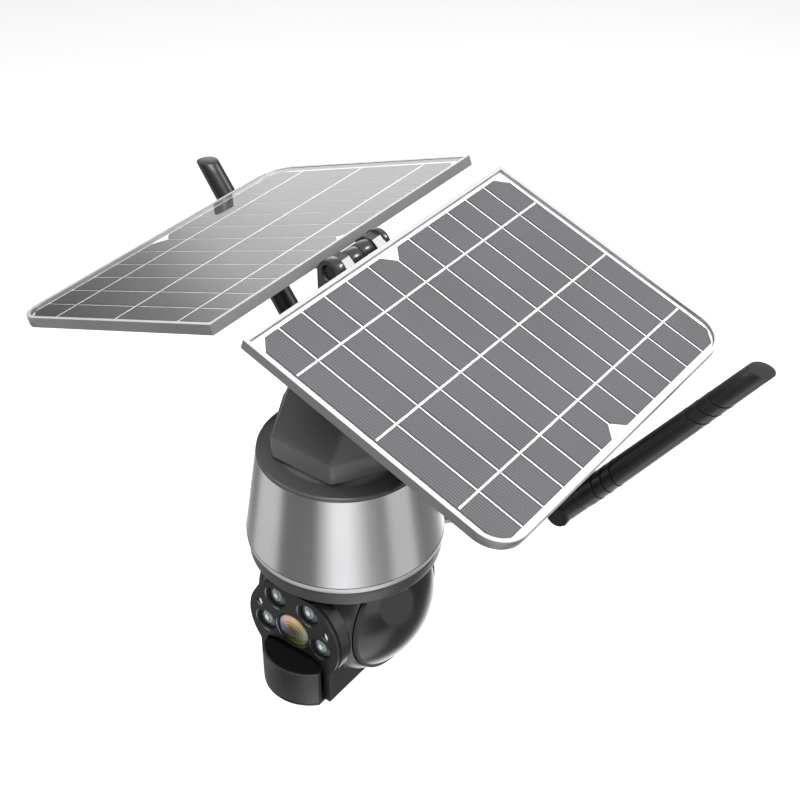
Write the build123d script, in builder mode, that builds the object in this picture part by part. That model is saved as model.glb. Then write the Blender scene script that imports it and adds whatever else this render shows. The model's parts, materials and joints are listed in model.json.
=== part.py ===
"""Solar-powered pan and tilt security camera on a wall bracket, millimetres.

Row frame: origin at the middle of the wall plate's rear face, +Z up, +X to the camera's left hand
as it looks out, -Y out from the wall. Every moving piece is drawn in its rest position.
"""
from build123d import *
import os

os.makedirs("parts", exist_ok=True)

# Heights and axes shared by several pieces
axis_y = -145.0
ridge_z = 160.0
panel_mid_y = -120.0
shell_top_z = 38.1
shell_bottom_z = -21.0
trim_bottom_z = -24.9
skirt_bottom_z = -35.3
ball_z = -71.3
ball_r = 53.6
hinge_z = 155.5
hinge_near_y = -153.0
hinge_far_y = -109.0

# Wall plate and rear bracket
plate_w = 84.0
plate_h = 124.0
plate_t = 5.0
wall_hole_r = 2.75
wall_hole_dx = 60.0
wall_hole_dz = 100.0
mast_y = -41.3
mast_r = 20.0
mast_wall = 2.8
mast_top_z = 76.0
mast_bottom_z = -75.5
mast_cap_t = 3.7
web_half_w = 13.0
arm_half_w = 15.0
arm_low_z = 44.0
arm_high_z = 68.0
bracket_screw_x = 8.0
bracket_screw_zs = (-50.0, -15.0, 15.0, 50.0)

# Antennas
ant_y = -36.3
ant_z = -44.0
ant_pivot_x = 86.5
ant_rise_deg = 54.3
ant_len = 192.0
wing_half = 13.0
wing_end_x = 64.0

# Solar panels
panel_tilt_deg = 20.0
panel_datum_x = 15.13
panel_in_u = -4.5
panel_out_u = 160.4
panel_half_v = 112.4
panel_t = 6.0
panel_corner_r = 18.0
lip_w = 2.4
tray_floor = 1.2
strip_pitch = 18.02
strip_w = 16.8
strip_len = 156.0
strip_cut = 7.0
ribbon_us = (26.7, 77.5, 129.0)

# Camera body
shell_top_r = 50.3
shell_bottom_r = 59.2
shell_wall = 1.8
cover_t = 2.4
cover_bore_r = 39.0
skirt_bottom_r = 57.9
skirt_bore_r = 50.6
chassis_low_z = -13.0
chassis_high_z = -9.5
chassis_r = 56.0

# Six-sided base housing
flange_apothem = 38.0
flange_low_z = 42.5
flange_high_z = 54.2
block_apothem = 36.2
block_low_z = 57.5
block_high_z = 77.5
roof_z = 80.5
base_back_y = axis_y + flange_apothem

# Head
slice_x = 35.0
face_y = -196.9
face_t = 3.0
lens_z = -71.8
face_r = 34.0
face_flat = 30.3
bay_half_w = 26.6
bay_bottom = -44.5
led_spots = ((-12.3, 19.7), (12.3, 19.7), (-20.8, -3.1), (20.8, -3.1))
led_r = 8.0
eye_spots = ((-25.3, 9.8), (25.3, 9.8))
eye_r = 2.6
lens_r = 12.6
window_r = 29.6
window_top = -20.0


def save(builder, label):
    """Name a finished piece and write its STEP file."""
    builder.part.label = label
    export_step(builder.part, f"parts/{label}.step")


def shifted(plane, u, v, w):
    """The same plane moved by u, v and w along its own axes."""
    return Plane(origin=plane.from_local_coords((u, v, w)), x_dir=plane.x_dir, z_dir=plane.z_dir)


def rod(plane, radius, length, mode=Mode.ADD):
    """Round bar of the open part, starting on a plane and running along its normal."""
    with Locations(plane):
        Cylinder(radius, length, align=(Align.CENTER, Align.CENTER, Align.MIN), mode=mode)


def bore(plane, radius, length):
    """Round hole of the open part, starting on a plane and running along its normal."""
    rod(plane, radius, length, Mode.SUBTRACT)


def box_between(x0, x1, y0, y1, z0, z1, mode=Mode.ADD):
    """Box of the open part given by its two corners."""
    with Locations(((x0 + x1) / 2, (y0 + y1) / 2, (z0 + z1) / 2)):
        Box(abs(x1 - x0), abs(y1 - y0), abs(z1 - z0), mode=mode)


def level(z, x=0.0, y=axis_y):
    """Level plane at a height, centred on the pan axis unless told otherwise."""
    return Plane(origin=(x, y, z), x_dir=(1, 0, 0), z_dir=(0, 0, 1))


def upright(y, x=0.0, z=0.0):
    """Plane across the room at a depth, its normal pointing out from the wall (-Y)."""
    return Plane(origin=(x, y, z), x_dir=(1, 0, 0), z_dir=(0, -1, 0))


def sideways(x, y, z):
    """Plane facing +X."""
    return Plane(origin=(x, y, z), x_dir=(0, 1, 0), z_dir=(1, 0, 0))


# ---------------------------------------------------------------- wall plate and rear bracket
with BuildPart() as wall_plate:
    box_between(-plate_w / 2, plate_w / 2, -plate_t, 0, -plate_h / 2, plate_h / 2)
    fillet(wall_plate.edges().filter_by(Axis.Y), 8)
    chamfer(wall_plate.faces().sort_by(Axis.Y)[0].edges(), 1.0)
    for sx in (-1, 1):
        for sz in (-1, 1):
            bore(upright(0, sx * wall_hole_dx / 2, sz * wall_hole_dz / 2), wall_hole_r, plate_t)
        for z in bracket_screw_zs:
            bore(upright(0, sx * bracket_screw_x, z), 2.2, plate_t)
            bore(upright(0, sx * bracket_screw_x, z), 4.2, 2.6)
save(wall_plate, "wall_plate")

with BuildPart() as bracket_screws:
    for sx in (-1, 1):
        for z in bracket_screw_zs:
            rod(upright(-0.2, sx * bracket_screw_x, z), 4.0, 2.4)
            rod(upright(-0.2, sx * bracket_screw_x, z), 2.0, 13.0)
save(bracket_screws, "bracket_screws")

with BuildPart() as rear_bracket:
    rod(level(mast_bottom_z, 0, mast_y), mast_r, mast_top_z - mast_bottom_z)
    box_between(-web_half_w, web_half_w, mast_y, -plate_t, -60, 62)
    box_between(-arm_half_w, arm_half_w, base_back_y, mast_y, arm_low_z, arm_high_z)
    box_between(-11.5, 11.5, base_back_y, mast_y, arm_low_z + 3, arm_high_z - 3, Mode.SUBTRACT)
    box_between(-11.5, 11.5, base_back_y, base_back_y + 3, arm_low_z, arm_high_z)
    bore(upright(base_back_y + 3, 0, 56), 5.0, 3.0)
    bore(level(mast_bottom_z, 0, mast_y), mast_r - mast_wall, mast_top_z - mast_bottom_z - 3.0)
    box_between(-web_half_w + 3, web_half_w - 3, mast_y, -plate_t - 11.0, -56, 58, Mode.SUBTRACT)
    for sx in (-1, 1):
        for z in bracket_screw_zs:
            bore(upright(-plate_t, sx * bracket_screw_x, z), 2.0, 9.0)
    bore(sideways(-mast_r - 1, ant_y, ant_z), 4.0, 2 * mast_r + 2)
save(rear_bracket, "rear_bracket")

with BuildPart() as mast_cap:
    rod(level(mast_bottom_z - mast_cap_t, 0, mast_y), mast_r, mast_cap_t)
    rod(level(mast_bottom_z, 0, mast_y), mast_r - mast_wall - 0.1, 6.0)
    bore(level(mast_bottom_z, 0, mast_y), mast_r - mast_wall - 2.5, 6.0)
    bore(level(mast_bottom_z - mast_cap_t, 0, mast_y), 4.0, mast_cap_t)
save(mast_cap, "mast_cap")

# ---------------------------------------------------------------- antenna wings and sockets
for side, s in (("right", 1), ("left", -1)):
    with BuildPart() as wing:
        box_between(s * 13.5, s * wing_end_x, ant_y - wing_half, ant_y + wing_half,
                    ant_z - wing_half, ant_z + wing_half)
        fillet(wing.edges().filter_by(Axis.X), 3)
        box_between(s * 13.5, s * (wing_end_x - 2.5), ant_y - wing_half + 2.2, ant_y + wing_half - 2.2,
                    ant_z - wing_half + 2.2, ant_z + wing_half - 2.2, Mode.SUBTRACT)
        bore(level(ant_z - 30, 0, mast_y), mast_r, 60)
        bore(sideways(0, ant_y, ant_z) if s > 0 else sideways(-wing_end_x - 1, ant_y, ant_z),
             3.1, wing_end_x + 1)
    save(wing, f"{side}_antenna_wing")

with BuildPart() as antenna_sockets:
    for s in (-1, 1):
        low, high = sorted((s * 58.0, s * 75.0))
        rod(sideways(low, ant_y, ant_z), 3.1, high - low)
        low, high = sorted((s * wing_end_x, s * (wing_end_x + 2.4)))
        rod(sideways(low, ant_y, ant_z), 4.6, high - low)
save(antenna_sockets, "antenna_sockets")

for side, s in (("right", 1), ("left", -1)):
    rise = Plane(origin=(s * ant_pivot_x, ant_y, ant_z), x_dir=(0, 1, 0),
                 z_dir=Vector(s, 0, 0).rotate(Axis.Y, -s * ant_rise_deg))
    with BuildPart() as swivel:
        low, high = sorted((s * 67.0, s * 77.5))
        rod(sideways(low, ant_y, ant_z), 5.4, high - low)
        bore(sideways(low - 1, ant_y, ant_z), 3.15, high - low + 1)
        low, high = sorted((s * 76.5, s * 78.0))
        rod(sideways(low, ant_y, ant_z), 5.4, high - low)
        box_between(*sorted((s * 78.0, s * ant_pivot_x)), ant_y - 2.5, ant_y + 2.5,
                    ant_z - 4.5, ant_z + 4.5)
        rod(upright(ant_y + 2.5, s * ant_pivot_x, ant_z), 5.6, 5.0)
        bore(upright(ant_y + 2.5, s * ant_pivot_x, ant_z), 1.55, 5.0)
    save(swivel, f"{side}_antenna_swivel")
    with BuildPart() as knuckle:
        rod(rise, 7.7, 22.0)
        rod(upright(ant_y + 7.7, s * ant_pivot_x, ant_z), 7.7, 15.4)
        rod(shifted(rise, 0, 0, -9), 12.0, 9.0, Mode.SUBTRACT)
        rod(upright(ant_y + 7.5, s * ant_pivot_x, ant_z), 7.0, 15.0)
        rod(upright(ant_y + 2.8, s * ant_pivot_x, ant_z), 8.6, 5.6, Mode.SUBTRACT)
        rod(upright(ant_y + 7.5, s * ant_pivot_x, ant_z), 1.5, 15.0)
    save(knuckle, f"{side}_antenna_knuckle")
    with BuildPart() as sleeve:
        for low, r_low, high, r_high in ((22.0, 7.7, 30.0, 8.2), (30.0, 8.2, 75.0, 7.9),
                                         (75.0, 7.9, ant_len + 8.0, 6.6)):
            with BuildSketch(shifted(rise, 0, 0, low)):
                Circle(r_low)
            with BuildSketch(shifted(rise, 0, 0, high)):
                Circle(r_high)
            loft()
        tip = rise.from_local_coords((0, 0, ant_len))
        with Locations(Plane(origin=tip, z_dir=(s * 0.12, 0, 1))):
            Cylinder(30, 30, align=(Align.CENTER, Align.CENTER, Align.MIN), mode=Mode.SUBTRACT)
    save(sleeve, f"{side}_antenna_sleeve")

# ---------------------------------------------------------------- camera body
post_spots = [(sx * 37.0, sy * 22.0) for sx in (-1, 1) for sy in (-1, 1)]
half = Plane(origin=(0, axis_y, 0), x_dir=(1, 0, 0), z_dir=(0, -1, 0))
pan_axis = Axis((0, axis_y, 0), (0, 0, 1))


def cone_r(z):
    """Outside radius of the shell at a height."""
    return shell_top_r + (shell_bottom_r - shell_top_r) * (shell_top_z - z) / (shell_top_z - shell_bottom_z)


with BuildPart() as body_shell:
    with BuildSketch(half):
        Polygon((cone_r(35.7), 35.7), (shell_bottom_r, shell_bottom_z),
                (shell_bottom_r - shell_wall, shell_bottom_z), (cone_r(35.7) - shell_wall, 35.7),
                align=None)
    revolve(axis=pan_axis)
save(body_shell, "body_shell")

with BuildPart() as top_cover:
    with BuildSketch(half):
        Polygon((cover_bore_r, 35.7), (shell_top_r, 35.7), (shell_top_r, 37.3),
                (shell_top_r - 0.8, shell_top_z), (cover_bore_r, shell_top_z), align=None)
        Polygon((cone_r(31) - shell_wall - 2.2, 31), (cone_r(31) - shell_wall - 0.1, 31),
                (cone_r(35.7) - shell_wall - 0.1, 35.7), (cone_r(35.7) - shell_wall - 2.2, 35.7),
                align=None)
    revolve(axis=pan_axis)
    for sx in (-1, 1):
        box_between(sx * 43.5, sx * 48.0, axis_y - 18, axis_y + 18, shell_top_z - 1.2, shell_top_z + 1,
                    Mode.SUBTRACT)
    for x, y in post_spots:
        rod(level(chassis_high_z, x, axis_y + y), 3.5, 36.0 - chassis_high_z)
        bore(level(chassis_high_z, x, axis_y + y), 1.5, 12.0)
save(top_cover, "top_cover")

with BuildPart() as trim_ring:
    with BuildSketch(half):
        Polygon((55.2, trim_bottom_z), (58.9, trim_bottom_z), (shell_bottom_r, trim_bottom_z + 0.5),
                (shell_bottom_r, shell_bottom_z - 0.5), (58.8, shell_bottom_z), (55.2, shell_bottom_z),
                align=None)
    revolve(axis=pan_axis)
save(trim_ring, "trim_ring")

with BuildPart() as lower_skirt:
    with BuildSketch(half):
        Polygon((skirt_bore_r + 4.5, trim_bottom_z), (58.6, trim_bottom_z),
                (skirt_bottom_r, skirt_bottom_z + 1), (skirt_bottom_r - 1, skirt_bottom_z),
                (skirt_bore_r, skirt_bottom_z), (skirt_bore_r, skirt_bottom_z + 2.5),
                (skirt_bore_r + 4.5, skirt_bottom_z + 3.5), align=None)
    revolve(axis=pan_axis)
save(lower_skirt, "lower_skirt")

with BuildPart() as chassis:
    with BuildSketch(half):
        Polygon((10.06, chassis_low_z), (52.0, chassis_low_z), (52.0, trim_bottom_z), (55.1, trim_bottom_z),
                (55.1, chassis_low_z), (chassis_r, chassis_low_z), (cone_r(chassis_high_z) - 1.9, chassis_high_z),
                (10.06, chassis_high_z), align=None)
    revolve(axis=pan_axis)
    for x, y in post_spots:
        bore(level(chassis_low_z, x, axis_y + y), 1.6, 4.0)
        bore(level(chassis_low_z, x, axis_y + y), 2.9, 1.8)
save(chassis, "body_chassis")

with BuildPart() as cover_screws:
    for x, y in post_spots:
        rod(level(chassis_low_z, x, axis_y + y), 2.7, 1.7)
        rod(level(chassis_low_z, x, axis_y + y), 1.5, 14.0)
save(cover_screws, "cover_screws")

# ---------------------------------------------------------------- six-sided base housing


def hexagon(apothem):
    """Corner points of the housing's outline, flats to the front and back."""
    r = apothem / 0.8660254
    return [(r, 0), (r / 2, apothem), (-r / 2, apothem), (-r, 0), (-r / 2, -apothem), (r / 2, -apothem)]


block_top = [(33.8, 0), (20.9, 30.0), (-20.9, 30.0), (-33.8, 0), (-20.9, -22.1), (20.9, -22.1)]
roof_top = [(24.0, 0), (15.0, 27.0), (-15.0, 27.0), (-24.0, 0), (-15.0, -13.0), (15.0, -13.0)]
layers = ((hexagon(flange_apothem), flange_low_z, 4.0), (hexagon(flange_apothem), flange_high_z, 4.0),
          (hexagon(block_apothem), block_low_z, 3.0), (block_top, block_high_z, 2.5),
          (roof_top, roof_z, 2.0))
with BuildPart() as base_housing:
    for (low, z0, r0), (high, z1, r1) in zip(layers[:-1], layers[1:]):
        with BuildSketch(level(z0)) as low_sketch:
            Polygon(*low, align=None)
            fillet(low_sketch.vertices(), r0)
        with BuildSketch(level(z1)) as high_sketch:
            Polygon(*high, align=None)
            fillet(high_sketch.vertices(), r1)
        loft()
    rod(level(36.2), cover_bore_r - 3.0, flange_low_z - 36.2)
    rod(level(36.2), cover_bore_r - 0.05, 1.2)
    with BuildSketch(level(40.0)):
        Polygon(*hexagon(30.0), align=None)
    extrude(amount=block_low_z - 40.0, mode=Mode.SUBTRACT)
    bore(level(36.0), 8.0, 5.0)
    with BuildSketch(level(block_low_z)) as cavity_low:
        Polygon(*hexagon(30.0), align=None)
    with BuildSketch(level(roof_z - 4.5)) as cavity_high:
        Polygon(*[(0.72 * x, 0.72 * y) for x, y in block_top], align=None)
    loft(mode=Mode.SUBTRACT)
    bore(upright(base_back_y + 1, 0, 56), 5.0, 12.0)
    for x in (-9.0, 9.0):
        for y in (-10.0, 23.0):
            bore(level(66.0, x, axis_y + y), 1.6, 20.0)
save(base_housing, "base_housing")

with BuildPart() as hinge_post:
    with BuildSketch(level(roof_z, 0, -134.0)) as foot_sketch:
        Rectangle(28, 46)
        fillet(foot_sketch.vertices(), 4)
    extrude(amount=4.0)
    with BuildSketch(level(roof_z + 4.0, 0, -133.0)):
        Rectangle(22, 42)
    with BuildSketch(level(hinge_z - 22.0, 0, -131.0)):
        Rectangle(16, 44)
    loft()
    with BuildSketch(upright(hinge_near_y, 0, hinge_z)):
        Polygon((-8, -22), (8, -22), (8, 2.0), (3.4, 6.2), (-3.4, 6.2), (-8, 2.0), align=None)
    extrude(amount=-(hinge_far_y - hinge_near_y))
    box_between(-12, 12, hinge_near_y - 1, hinge_near_y + 6.0, hinge_z + 0.5, hinge_z + 8, Mode.SUBTRACT)
    box_between(-12, 12, hinge_far_y - 3.5, hinge_far_y + 1, hinge_z + 0.5, hinge_z + 8, Mode.SUBTRACT)
    rod(upright(hinge_near_y + 6.0, 0, hinge_z), 7.6, 6.0)
    rod(upright(hinge_far_y, 0, hinge_z), 7.6, 3.5)
    box_between(-12, 12, -140, -120, hinge_z - 19, hinge_z + 8, Mode.SUBTRACT)
    bore(upright(hinge_far_y - 1.0, 0, hinge_z), 3.0, 60)
    bore(upright(hinge_near_y + 5.0, 0, hinge_z), 5.2, 6)
    box_between(-6, 6, -150, -118, 90, hinge_z - 26, Mode.SUBTRACT)
    bore(level(roof_z, 0, -134), 4.0, 12)
    for s in (-1, 1):
        gland = Plane(origin=(s * 9.5, -134, 104), z_dir=(s, 0, 0))
        rod(gland, 4.2, 5.0)
        bore(shifted(gland, 0, 0, -6), 1.8, 12.0)
save(hinge_post, "hinge_post")

with BuildPart() as hinge_bolt:
    rod(upright(hinge_far_y - 1.0, 0, hinge_z), 3.0, hinge_far_y - hinge_near_y - 6.0)
    with BuildSketch(upright(hinge_near_y + 5.0, 0, hinge_z)):
        RegularPolygon(4.0, 6, major_radius=False)
    extrude(amount=3.4)
save(hinge_bolt, "hinge_bolt")

# ---------------------------------------------------------------- solar panels
tilt = panel_tilt_deg


def build_panel(side, s, knuckle_y):
    """All the pieces of one panel; s is +1 for the right panel and -1 for the left."""
    datum = Plane(origin=(s * panel_datum_x, panel_mid_y, ridge_z),
                  x_dir=Vector(s, 0, 0).rotate(Axis.Y, s * tilt), z_dir=Vector(0, 0, 1).rotate(Axis.Y, s * tilt))

    def at(w, u=0.0, v=0.0):
        return shifted(datum, u, v, w)

    def outline(inset):
        """Panel outline moved inwards, before its outer corners are rounded."""
        return [(panel_in_u + inset, -panel_half_v + inset), (panel_out_u - inset, -panel_half_v + inset),
                (panel_out_u - inset, panel_half_v - inset), (panel_in_u + inset, panel_half_v - inset)]

    with BuildPart() as frame:
        with BuildSketch(at(-panel_t)) as outer:
            Polygon(*outline(0), align=None)
            fillet(outer.vertices().group_by(Axis.X)[-1], panel_corner_r)
        extrude(amount=panel_t)
        with BuildSketch(at(-panel_t + tray_floor)) as inner:
            Polygon(*outline(lip_w), align=None)
            fillet(inner.vertices().group_by(Axis.X)[-1], panel_corner_r - lip_w)
        extrude(amount=panel_t, mode=Mode.SUBTRACT)
        for u in (24.0, 52.0):
            for v in (-17.0, 17.0):
                bore(at(-panel_t, u, s * (-131.0 - panel_mid_y) + v), 2.0, tray_floor)
    save(frame, f"{side}_panel_frame")

    def sheet(label, low, high, inset):
        with BuildPart() as layer:
            with BuildSketch(at(low)) as shape:
                Polygon(*outline(inset), align=None)
                fillet(shape.vertices().group_by(Axis.X)[-1], panel_corner_r - inset)
            extrude(amount=high - low)
        save(layer, f"{side}_{label}")

    sheet("panel_backsheet", -4.8, -2.6, lip_w)
    sheet("panel_glass", -1.9, -0.3, lip_w)

    with BuildPart() as cells:
        for k in range(12):
            v = (k - 5.5) * strip_pitch
            first = k in (0, 6)
            last = k in (5, 11)
            hw = strip_w / 2
            low_cut = strip_cut if first else 0.01
            high_cut = strip_cut if last else 0.01
            with BuildSketch(at(-2.6)):
                Polygon((low_cut, v - hw), (strip_len - low_cut, v - hw),
                        (strip_len, v - hw + low_cut), (strip_len, v + hw - high_cut),
                        (strip_len - high_cut, v + hw), (high_cut, v + hw),
                        (0, v + hw - high_cut), (0, v - hw + low_cut), align=None)
            extrude(amount=0.4)
        for u in ribbon_us:
            with BuildSketch(at(-2.25, u)):
                Rectangle(1.5, 2 * 107.0)
            extrude(amount=0.25)
    save(cells, f"{side}_solar_cells")

    leaf_v = s * (-131.0 - panel_mid_y)
    with BuildPart() as leaf:
        with BuildSketch(at(-9.0, 38.0, leaf_v)) as plate:
            Rectangle(44, 46)
            fillet(plate.vertices(), 6)
        extrude(amount=3.0)
        with BuildSketch(Plane(origin=(0, knuckle_y + 4.65, hinge_z), x_dir=(1, 0, 0), z_dir=(0, -1, 0))):
            Polygon((0, -5.6), (s * 17.6, -10.0), (s * 32.0, -13.5), (s * 32.0, -8.7), (s * 12.3, -1.7),
                    (s * 6.0, 0.5), (0, 3.0), align=None)
            Circle(6.0)
        extrude(amount=9.3)
        bore(upright(knuckle_y + 6, 0, hinge_z), 3.06, 12)
        for u in (24.0, 52.0):
            for v in (-17.0, 17.0):
                bore(at(-10.0, u, leaf_v + v), 2.1, 5)
    save(leaf, f"{side}_hinge_leaf")

    with BuildPart() as leaf_screws:
        for u in (24.0, 52.0):
            for v in (-17.0, 17.0):
                rod(at(-11.2, u, leaf_v + v), 3.6, 2.2)
                rod(at(-11.2, u, leaf_v + v), 2.0, 6.3)
    save(leaf_screws, f"{side}_leaf_screws")

    with BuildPart() as junction_box:
        with BuildSketch(at(-17.0, 50.0, leaf_v + s * 50)) as box_sketch:
            Rectangle(44, 36)
            fillet(box_sketch.vertices(), 5)
        extrude(amount=11.0)
        with BuildSketch(at(-15.0, 50.0, leaf_v + s * 50)):
            Rectangle(39, 31)
        extrude(amount=8.0, mode=Mode.SUBTRACT)
        inlet = Plane(origin=at(-11.5, 28.0, leaf_v + s * 50).origin, x_dir=(0, 1, 0),
                      z_dir=-datum.x_dir)
        rod(inlet, 4.2, 7.0)
        bore(shifted(inlet, 0, 0, -4), 1.8, 12.0)
    save(junction_box, f"{side}_junction_box")


build_panel("right", 1, -125.0)
build_panel("left", -1, -135.0)

# ---------------------------------------------------------------- power and electronics in the body
cell_z = 25.4
cell_ys = (-20.0, 0.0, 20.0)
with BuildPart() as battery_tray:
    box_between(-32.0, 32.0, axis_y - 31, axis_y + 31, 14.6, 20.0)
    for y in cell_ys:
        bore(sideways(-40, axis_y + y, cell_z), 9.25, 80)
    for x in (-27.0, 27.0):
        rod(level(chassis_high_z, x, axis_y + 2.0), 3.0, 14.6 - chassis_high_z)
save(battery_tray, "battery_tray")

with BuildPart() as battery_cells:
    for y in cell_ys:
        rod(sideways(-32.5, axis_y + y, cell_z), 9.2, 65.0)
save(battery_cells, "battery_cells")

with BuildPart() as charge_board:
    box_between(-19, 19, axis_y - 24, axis_y + 10, 47.0, 48.6)
    box_between(-16, -4, axis_y - 20, axis_y - 8, 48.6, 51.4)
    box_between(4, 14, axis_y - 16, axis_y - 6, 48.6, 52.6)
    rod(level(48.6, 14, axis_y + 4), 3.5, 6.0)
    for x in (-16.5, 16.5):
        for y in (-20.5, 7.0):
            rod(level(40.0, x, axis_y + y), 2.2, 7.0)
save(charge_board, "charge_board")

with BuildPart() as main_board:
    box_between(-26, 26, axis_y - 38, axis_y - 25, 2.0, 3.6)
    box_between(-12, 4, axis_y - 37, axis_y - 27, 3.6, 5.4)
    box_between(10, 20, axis_y - 36, axis_y - 28, 3.6, 8.0)
    for x in (-20.0, 20.0):
        rod(level(chassis_high_z, x, axis_y - 34.0), 1.6, 2.0 - chassis_high_z)
save(main_board, "main_board")

# ---------------------------------------------------------------- pan drive
gear_low_z = -8.0
gear_high_z = -3.5
motor_dy = 25.0
with BuildPart() as pan_motor:
    rod(level(-1.5, 0, axis_y + motor_dy), 12.5, 15.5)
    for s in (-1, 1):
        box_between(s * 8, s * 19.5, axis_y + motor_dy - 3, axis_y + motor_dy + 3, -1.5, 0.0)
        rod(level(chassis_high_z, s * 17.0, axis_y + motor_dy), 2.4, -1.5 - chassis_high_z)
save(pan_motor, "pan_motor")

with BuildPart() as pan_pinion:
    rod(level(gear_low_z, 0, axis_y + motor_dy), 5.8, gear_high_z - gear_low_z)
    rod(level(gear_high_z, 0, axis_y + motor_dy), 2.0, 1.7)
save(pan_pinion, "pan_pinion")

with BuildPart() as pan_gear:
    rod(level(gear_low_z), 19.0, gear_high_z - gear_low_z)
    bore(level(gear_low_z), 8.0, gear_high_z - gear_low_z)
save(pan_gear, "pan_gear")

# ---------------------------------------------------------------- turntable and yoke
arm_in_x = 35.7
arm_out_x = 38.0
centre = (0, axis_y, ball_z)


def ball_plane(x):
    """Plane facing +X through the tilt axis at a distance from the middle."""
    return sideways(x, axis_y, ball_z)


with BuildPart() as turntable:
    rod(level(-17.0), 47.5, 3.6)
    rod(level(-13.4), 10.0, 5.4)
    rod(level(-8.0), 8.0, 5.5)
    bore(level(-17.0), 5.0, 15)
    for s in (-1, 1):
        rod(ball_plane(arm_in_x if s > 0 else -arm_out_x), 39.6, arm_out_x - arm_in_x)
        box_between(s * arm_in_x, s * arm_out_x, axis_y - 14, axis_y + 14, -40, -16)
        box_between(s * arm_in_x, s * 45.0, axis_y - 12, axis_y + 12, -30.0, -16)
    bore(ball_plane(-40), 5.0, 80)
save(turntable, "turntable")

cap_normal = Vector(0.907, -0.239, 0.347)
for side, s in (("right", 1), ("left", -1)):
    with BuildPart() as side_cap:
        with Locations(centre):
            Sphere(ball_r, rotation=(0, 90, 0))
        box_between(s * arm_out_x, -s * 60, axis_y - 60, axis_y + 60, -130, -10, Mode.SUBTRACT)
        with Locations(centre):
            Sphere(ball_r - 2.4, rotation=(0, 90, 0), mode=Mode.SUBTRACT)
        flat = Plane(origin=Vector(*centre) + Vector(s * cap_normal.X, cap_normal.Y, cap_normal.Z) * 52.2,
                     z_dir=(s * cap_normal.X, cap_normal.Y, cap_normal.Z))
        rod(flat, 20.0, 5.0, Mode.SUBTRACT)
        box_between(s * 35, s * 45.2, axis_y - 12.2, axis_y + 12.2, -45, -10, Mode.SUBTRACT)
    save(side_cap, f"{side}_side_cap")

with BuildPart() as tilt_motor:
    rod(ball_plane(-47.0), 11.0, 47.0 - arm_out_x)
save(tilt_motor, "tilt_motor")

with BuildPart() as tilt_bearing:
    rod(ball_plane(arm_in_x), 5.0, 6.0)
    rod(ball_plane(arm_out_x), 7.0, 4.0)
    bore(ball_plane(arm_in_x), 3.06, 10.0)
save(tilt_bearing, "tilt_bearing")

# ---------------------------------------------------------------- tilting head
def face(a=0.0, b=0.0, depth=0.0):
    """Plane on the face plate's front, moved across, up and back into the head."""
    return upright(face_y + depth, a, lens_z + b)


def head_form(drum_r, half_x, bezel_r, bezel_flat, bay_w, bay_low, front_y, back_y):
    """Round bezel and bay box in front, then the solid of revolution between the side caps."""
    with BuildPart() as form:
        with BuildSketch(Plane(origin=(0, front_y, lens_z), x_dir=(1, 0, 0), z_dir=(0, -1, 0))):
            Circle(bezel_r)
            with Locations((0, bezel_flat + 40)):
                Rectangle(90, 80, mode=Mode.SUBTRACT)
        extrude(amount=-30)
        box_between(-bay_w, bay_w, front_y, back_y, bay_low, lens_z)
        with BuildSketch(Plane(origin=centre, x_dir=(1, 0, 0), z_dir=(0, 0, 1))):
            Circle(drum_r)
            Rectangle(2 * half_x, 4 * drum_r, mode=Mode.INTERSECT)
            with Locations((0, -drum_r)):
                Rectangle(4 * half_x, 2 * drum_r, mode=Mode.SUBTRACT)
        revolve(axis=Axis(centre, (1, 0, 0)))
    return form.part


head_front_y = face_y + face_t
head_outside = head_form(ball_r - 0.3, slice_x, face_r + 0.6, face_flat + 0.4, bay_half_w,
                         lens_z + bay_bottom, head_front_y, axis_y - 2)
head_inside = head_form(ball_r - 2.7, slice_x - 2.0, face_r - 1.2, face_flat - 2.0, bay_half_w - 2.2,
                        lens_z + bay_bottom + 2.2, head_front_y, axis_y - 4)
with BuildPart() as head_shell:
    add(head_outside)
    add(head_inside, mode=Mode.SUBTRACT)
    box_between(-60, 60, head_front_y - 20, head_front_y, -130, -10, Mode.SUBTRACT)
    rod(ball_plane(slice_x), 3.0, 7.0)
    rod(ball_plane(-slice_x - 3.0), 2.5, 3.0)
save(head_shell, "head_shell")

window_y = face_y + 15.0
with BuildPart() as face_plate:
    with BuildSketch(face(0, 0, 0)) as plate_sketch:
        Circle(face_r)
        with Locations((0, face_flat + 40)):
            Rectangle(90, 80, mode=Mode.SUBTRACT)
        with Locations((0, bay_bottom / 2)):
            Rectangle(2 * bay_half_w, -bay_bottom)
    extrude(amount=-face_t)
    with BuildSketch(face(0, 0, 0)) as opening:
        with Locations((0, -30.2)):
            Rectangle(44.4, 24.4)
        Polygon((-22.2, -20), (-20, -15.0), (-12, -13.2), (12, -13.2), (20, -15.0), (22.2, -20), align=None)
    extrude(amount=-face_t, mode=Mode.SUBTRACT)
    for a, b in led_spots:
        bore(face(a, b, face_t + 1), led_r, face_t + 2)
    for a, b in eye_spots:
        bore(face(a, b, face_t + 1), eye_r, face_t + 2)
    bore(face(0, 0, face_t + 1), lens_r, face_t + 2)
    with BuildSketch(level(lens_z + bay_bottom - 1.6, 0, window_y)):
        Circle(window_r)
        with Locations((0, 20 + face_y + face_t - window_y)):
            Rectangle(80, 40, mode=Mode.SUBTRACT)
        with Locations((42, 0), (-42, 0)):
            Rectangle(40, 80, mode=Mode.SUBTRACT)
    extrude(amount=1.6)
save(face_plate, "face_plate")

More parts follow.
